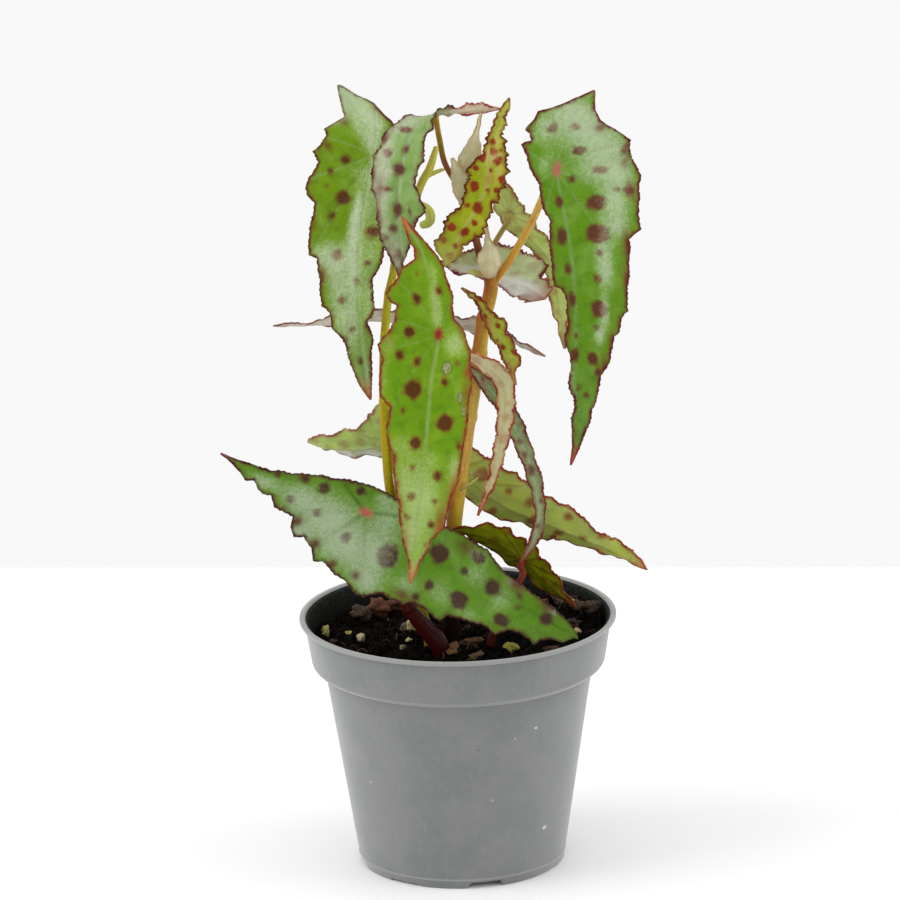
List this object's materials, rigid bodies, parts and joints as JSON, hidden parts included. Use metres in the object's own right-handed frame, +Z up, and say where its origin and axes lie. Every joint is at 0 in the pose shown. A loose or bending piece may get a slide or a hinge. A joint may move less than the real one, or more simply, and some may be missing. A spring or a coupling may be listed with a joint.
{
  "type": "potted begonia",
  "caption": "Upright cane begonia in a tapered nursery pot: long toothed leaves with round dark spots hang from thin stalks on slender canes over dark peat.",
  "frame": {"origin": "on the table, at the middle of the flat pad under the pot, on the pot's axis", "axes": "+Z up along the pot's axis, -Y towards the front of the plant, where the bright hanging leaf is"},
  "size_m": [0.1605, 0.12, 0.3029],
  "materials": {
    "pot": "moulded grey, satin",
    "peat": "dark, rough, with pale grains",
    "brown_cane": "golden brown, smooth",
    "green_cane": "yellow green, smooth",
    "red_stalk": "dark red, fleshy",
    "green_leaf": "waxy green with dark round spots",
    "young_leaf": "yellow green with crimson spots",
    "pale_leaf": "pale underside, matt",
    "stipule": "dry and papery"
  },
  "bodies": {
    "root": {"pot": "pot", "soil": "peat", "cane_right": "brown_cane", "cane_left": "green_cane", "stalk_low_left": "red_stalk", "stalk_low_right": "red_stalk", "leaf_top_left": "green_leaf", "leaf_arched": "green_leaf", "leaf_right": "green_leaf", "leaf_front": "green_leaf", "leaf_low_left": "green_leaf", "leaf_low_right": "green_leaf", "leaf_top_back": "green_leaf", "leaf_curved_drooping": "green_leaf", "leaf_low_dark": "green_leaf", "leaf_young": "young_leaf", "leaf_small_upright": "young_leaf", "leaf_mid_left": "pale_leaf", "leaf_mid_right": "pale_leaf", "leaf_pale_drooping": "pale_leaf", "leaf_level_back": "pale_leaf", "stipule_top": "stipule", "stipule_tip": "stipule", "stipule_node": "stipule"}
  },
  "joints": []
}
